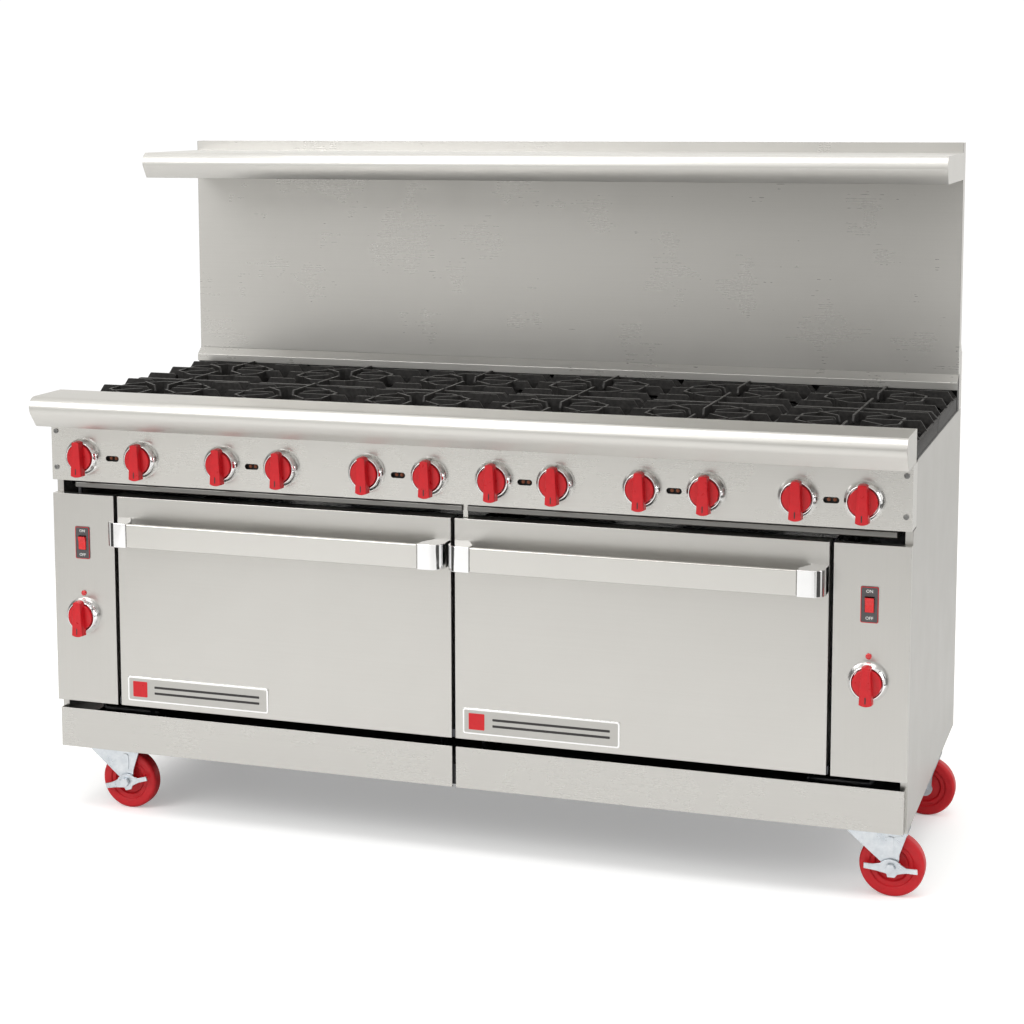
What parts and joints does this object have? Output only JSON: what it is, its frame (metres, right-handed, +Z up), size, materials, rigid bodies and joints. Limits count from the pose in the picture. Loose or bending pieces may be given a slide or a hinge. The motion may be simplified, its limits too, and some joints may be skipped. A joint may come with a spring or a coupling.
{
  "type": "commercial gas range",
  "caption": "Wide stainless gas range on casters: open burners under cast grates, a row of red knobs, two drop-down ovens and a high shelf on a riser.",
  "frame": {"origin": "on the floor at the centre of the whole footprint, casters included", "axes": "+X to the viewer's right when facing the doors, +Y from the doors to the back, +Z up"},
  "size_m": [1.859, 0.8759, 1.448],
  "materials": {
    "stainless": "brushed",
    "galvanised": "satin",
    "frame_steel": "satin",
    "enamel": "gloss",
    "rack_wire": "polished",
    "motor_metal": "satin",
    "black_sheet": "satin",
    "cast_iron": "rough",
    "pipe_steel": "satin",
    "valve_brass": "machined",
    "chrome": "polished",
    "black_plastic": "matte",
    "lamp_red": "gloss",
    "knob_red": "gloss",
    "rocker_red": "gloss",
    "zinc": "zinc plated",
    "wheel_red": "matte"
  },
  "bodies": {
    "chassis": {"base_frame": "frame_steel", "side_panel_left": "stainless", "side_panel_right": "stainless", "rear_panel": "galvanised", "control_panel": "stainless", "front_rail": "stainless", "front_panel_left": "stainless", "front_panel_right": "stainless", "kick_plates": "stainless", "riser": "stainless", "high_shelf": "stainless", "oven_liner_left": "enamel", "oven_liner_right": "enamel", "oven_racks": "rack_wire", "fan_motors": "motor_metal", "burner_box": "black_sheet", "gas_burners": "cast_iron", "gas_manifold": "pipe_steel", "gas_valves": "valve_brass", "top_grates": "cast_iron", "knob_bezels": "chrome", "switch_plates": "black_plastic", "indicator_lights": "lamp_red", "screws": "chrome"},
    "burner_knob_01": {"burner_knob_01": "knob_red"},
    "burner_knob_02": {"burner_knob_02": "knob_red"},
    "burner_knob_03": {"burner_knob_03": "knob_red"},
    "burner_knob_04": {"burner_knob_04": "knob_red"},
    "burner_knob_05": {"burner_knob_05": "knob_red"},
    "burner_knob_06": {"burner_knob_06": "knob_red"},
    "burner_knob_07": {"burner_knob_07": "knob_red"},
    "burner_knob_08": {"burner_knob_08": "knob_red"},
    "burner_knob_09": {"burner_knob_09": "knob_red"},
    "burner_knob_10": {"burner_knob_10": "knob_red"},
    "burner_knob_11": {"burner_knob_11": "knob_red"},
    "burner_knob_12": {"burner_knob_12": "knob_red"},
    "oven_knob_left": {"oven_knob_left": "knob_red"},
    "oven_knob_right": {"oven_knob_right": "knob_red"},
    "oven_switch_left": {"oven_switch_left": "rocker_red"},
    "oven_switch_right": {"oven_switch_right": "rocker_red"},
    "door_left": {"door_skin_left": "stainless", "door_liner_left": "enamel", "door_handle_left": "chrome"},
    "door_right": {"door_skin_right": "stainless", "door_liner_right": "enamel", "door_handle_right": "chrome"},
    "crumb_tray_left": {"crumb_tray_left": "stainless"},
    "crumb_tray_right": {"crumb_tray_right": "stainless"},
    "fan_left": {"fan_left": "motor_metal"},
    "fan_right": {"fan_right": "motor_metal"},
    "caster_fork_front_left": {"caster_fork_front_left": "zinc"},
    "caster_wheel_front_left": {"caster_wheel_front_left": "wheel_red"},
    "caster_fork_front_right": {"caster_fork_front_right": "zinc"},
    "caster_wheel_front_right": {"caster_wheel_front_right": "wheel_red"},
    "caster_fork_rear_left": {"caster_fork_rear_left": "zinc"},
    "caster_wheel_rear_left": {"caster_wheel_rear_left": "wheel_red"},
    "caster_fork_rear_right": {"caster_fork_rear_right": "zinc"},
    "caster_wheel_rear_right": {"caster_wheel_rear_right": "wheel_red"},
    "brake_lever_left": {"brake_lever_left": "zinc"},
    "brake_lever_right": {"brake_lever_right": "zinc"}
  },
  "joints": [
    {"name": "turn_burner_knob_01", "type": "hinge", "parent": "chassis", "child": "burner_knob_01", "pos_m": [-0.853, -0.37, 0.79], "axis": [0, -1, 0], "range_deg": [0, 90]},
    {"name": "turn_burner_knob_02", "type": "hinge", "parent": "chassis", "child": "burner_knob_02", "pos_m": [-0.715, -0.37, 0.79], "axis": [0, -1, 0], "range_deg": [0, 90]},
    {"name": "turn_burner_knob_03", "type": "hinge", "parent": "chassis", "child": "burner_knob_03", "pos_m": [-0.526, -0.37, 0.79], "axis": [0, -1, 0], "range_deg": [0, 90]},
    {"name": "turn_burner_knob_04", "type": "hinge", "parent": "chassis", "child": "burner_knob_04", "pos_m": [-0.39, -0.37, 0.79], "axis": [0, -1, 0], "range_deg": [0, 90]},
    {"name": "turn_burner_knob_05", "type": "hinge", "parent": "chassis", "child": "burner_knob_05", "pos_m": [-0.2, -0.37, 0.79], "axis": [0, -1, 0], "range_deg": [0, 90]},
    {"name": "turn_burner_knob_06", "type": "hinge", "parent": "chassis", "child": "burner_knob_06", "pos_m": [-0.064, -0.37, 0.79], "axis": [0, -1, 0], "range_deg": [0, 90]},
    {"name": "turn_burner_knob_07", "type": "hinge", "parent": "chassis", "child": "burner_knob_07", "pos_m": [0.074, -0.37, 0.79], "axis": [0, -1, 0], "range_deg": [0, 90]},
    {"name": "turn_burner_knob_08", "type": "hinge", "parent": "chassis", "child": "burner_knob_08", "pos_m": [0.202, -0.37, 0.79], "axis": [0, -1, 0], "range_deg": [0, 90]},
    {"name": "turn_burner_knob_09", "type": "hinge", "parent": "chassis", "child": "burner_knob_09", "pos_m": [0.378, -0.37, 0.79], "axis": [0, -1, 0], "range_deg": [0, 90]},
    {"name": "turn_burner_knob_10", "type": "hinge", "parent": "chassis", "child": "burner_knob_10", "pos_m": [0.506, -0.37, 0.79], "axis": [0, -1, 0], "range_deg": [0, 90]},
    {"name": "turn_burner_knob_11", "type": "hinge", "parent": "chassis", "child": "burner_knob_11", "pos_m": [0.684, -0.37, 0.79], "axis": [0, -1, 0], "range_deg": [0, 90]},
    {"name": "turn_burner_knob_12", "type": "hinge", "parent": "chassis", "child": "burner_knob_12", "pos_m": [0.81, -0.37, 0.79], "axis": [0, -1, 0], "range_deg": [0, 90]},
    {"name": "turn_oven_knob_left", "type": "hinge", "parent": "chassis", "child": "oven_knob_left", "pos_m": [-0.86, -0.37, 0.442], "axis": [0, -1, 0], "range_deg": [0, 280]},
    {"name": "turn_oven_knob_right", "type": "hinge", "parent": "chassis", "child": "oven_knob_right", "pos_m": [0.823, -0.37, 0.442], "axis": [0, -1, 0], "range_deg": [0, 280]},
    {"name": "rock_oven_switch_left", "type": "hinge", "parent": "chassis", "child": "oven_switch_left", "pos_m": [-0.86, -0.347, 0.602], "axis": [-1, 0, 0], "range_deg": [0, 14]},
    {"name": "rock_oven_switch_right", "type": "hinge", "parent": "chassis", "child": "oven_switch_right", "pos_m": [0.823, -0.347, 0.592], "axis": [-1, 0, 0], "range_deg": [0, 14]},
    {"name": "open_door_left", "type": "hinge", "parent": "chassis", "child": "door_left", "pos_m": [-0.3973, -0.338, 0.258], "axis": [1, 0, 0], "range_deg": [0, 90], "stiffness_Nm_per_rad": 15, "springref_deg": -22.92},
    {"name": "open_door_right", "type": "hinge", "parent": "chassis", "child": "door_right", "pos_m": [0.3673, -0.338, 0.258], "axis": [1, 0, 0], "range_deg": [0, 90], "stiffness_Nm_per_rad": 15, "springref_deg": -22.92},
    {"name": "slide_crumb_tray_left", "type": "slide", "parent": "chassis", "child": "crumb_tray_left", "axis": [0, -1, 0], "range_m": [0, 0.45]},
    {"name": "slide_crumb_tray_right", "type": "slide", "parent": "chassis", "child": "crumb_tray_right", "axis": [0, -1, 0], "range_m": [0, 0.45]},
    {"name": "spin_fan_left", "type": "hinge", "parent": "chassis", "child": "fan_left", "pos_m": [-0.3973, 0.28, 0.445], "axis": [0, -1, 0], "continuous": true},
    {"name": "spin_fan_right", "type": "hinge", "parent": "chassis", "child": "fan_right", "pos_m": [0.3673, 0.28, 0.445], "axis": [0, -1, 0], "continuous": true},
    {"name": "swivel_front_left", "type": "hinge", "parent": "chassis", "child": "caster_fork_front_left", "pos_m": [-0.845, -0.273, 0.137], "axis": [0, 0, 1], "continuous": true},
    {"name": "roll_front_left", "type": "hinge", "parent": "caster_fork_front_left", "child": "caster_wheel_front_left", "pos_m": [-0.794, -0.273, 0.0635], "axis": [0, 1, 0], "continuous": true},
    {"name": "swivel_front_right", "type": "hinge", "parent": "chassis", "child": "caster_fork_front_right", "pos_m": [0.815, -0.273, 0.137], "axis": [0, 0, 1], "continuous": true},
    {"name": "roll_front_right", "type": "hinge", "parent": "caster_fork_front_right", "child": "caster_wheel_front_right", "pos_m": [0.866, -0.273, 0.0635], "axis": [0, 1, 0], "continuous": true},
    {"name": "swivel_rear_left", "type": "hinge", "parent": "chassis", "child": "caster_fork_rear_left", "pos_m": [-0.845, 0.232, 0.137], "axis": [0, 0, 1], "continuous": true},
    {"name": "roll_rear_left", "type": "hinge", "parent": "caster_fork_rear_left", "child": "caster_wheel_rear_left", "pos_m": [-0.794, 0.232, 0.0635], "axis": [0, 1, 0], "continuous": true},
    {"name": "swivel_rear_right", "type": "hinge", "parent": "chassis", "child": "caster_fork_rear_right", "pos_m": [0.815, 0.232, 0.137], "axis": [0, 0, 1], "continuous": true},
    {"name": "roll_rear_right", "type": "hinge", "parent": "caster_fork_rear_right", "child": "caster_wheel_rear_right", "pos_m": [0.866, 0.232, 0.0635], "axis": [0, 1, 0], "continuous": true},
    {"name": "press_brake_lever_left", "type": "hinge", "parent": "caster_fork_front_left", "child": "brake_lever_left", "pos_m": [-0.794, -0.3015, 0.0635], "axis": [0, -1, 0], "range_deg": [-17, 0]},
    {"name": "press_brake_lever_right", "type": "hinge", "parent": "caster_fork_front_right", "child": "brake_lever_right", "pos_m": [0.866, -0.3015, 0.0635], "axis": [0, -1, 0], "range_deg": [0, 17]}
  ]
}
